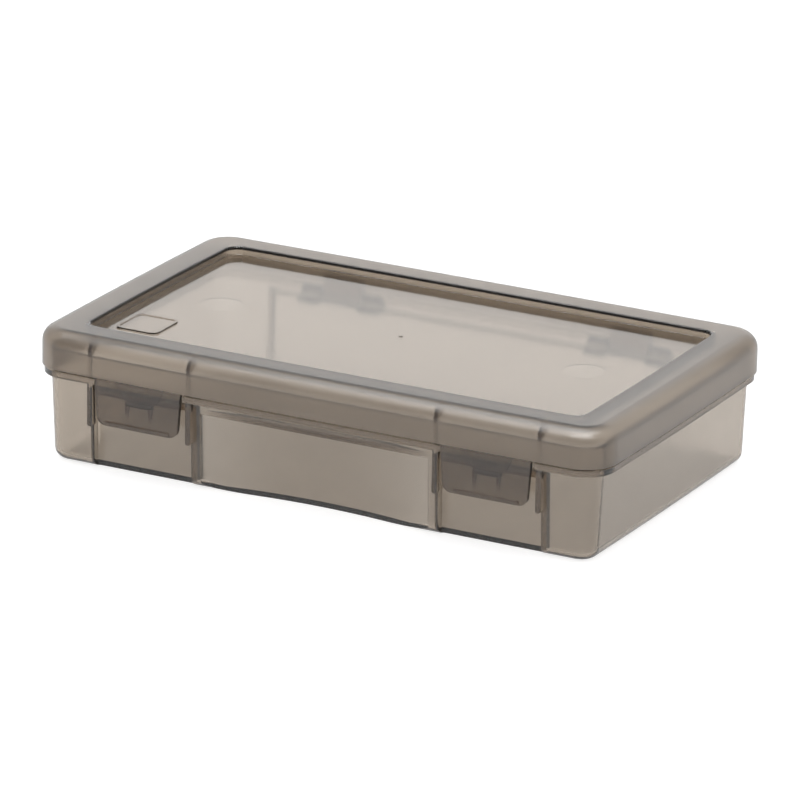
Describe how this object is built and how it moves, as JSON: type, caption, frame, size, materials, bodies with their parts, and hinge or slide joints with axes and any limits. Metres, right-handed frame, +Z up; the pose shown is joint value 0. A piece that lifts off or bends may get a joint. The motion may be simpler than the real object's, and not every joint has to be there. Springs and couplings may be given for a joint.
{
  "type": "fishing tackle box",
  "caption": "Flat see-through tackle box: drafted tray, framed lid on a rear pin hinge, and flexing front latch tabs beside a grip hollow.",
  "frame": {"origin": "middle of the tray's flat underside", "axes": "+X along the long side, to the right seen from the front; +Y to the hinge side; +Z up"},
  "size_m": [0.3176, 0.194, 0.0692],
  "materials": {
    "smoke_plastic": "satin"
  },
  "bodies": {
    "tray": {"base_tray": "smoke_plastic", "hinge_pin_left": "smoke_plastic", "hinge_pin_right": "smoke_plastic"},
    "lid": {"lid": "smoke_plastic"},
    "latch_left": {"latch_left": "smoke_plastic"},
    "latch_right": {"latch_right": "smoke_plastic"}
  },
  "joints": [
    {"name": "lid_hinge", "type": "hinge", "parent": "tray", "child": "lid", "pos_m": [0, 0.095, 0.0425], "axis": [-1, 0, 0], "range_deg": [0, 180]},
    {"name": "latch_left_flex", "type": "hinge", "parent": "lid", "child": "latch_left", "pos_m": [-0.0964, -0.09528, 0.04935], "axis": [-1, 0, 0], "range_deg": [0, 15], "stiffness_Nm_per_rad": 0.5},
    {"name": "latch_right_flex", "type": "hinge", "parent": "lid", "child": "latch_right", "pos_m": [0.0964, -0.09528, 0.04935], "axis": [-1, 0, 0], "range_deg": [0, 15], "stiffness_Nm_per_rad": 0.5}
  ]
}
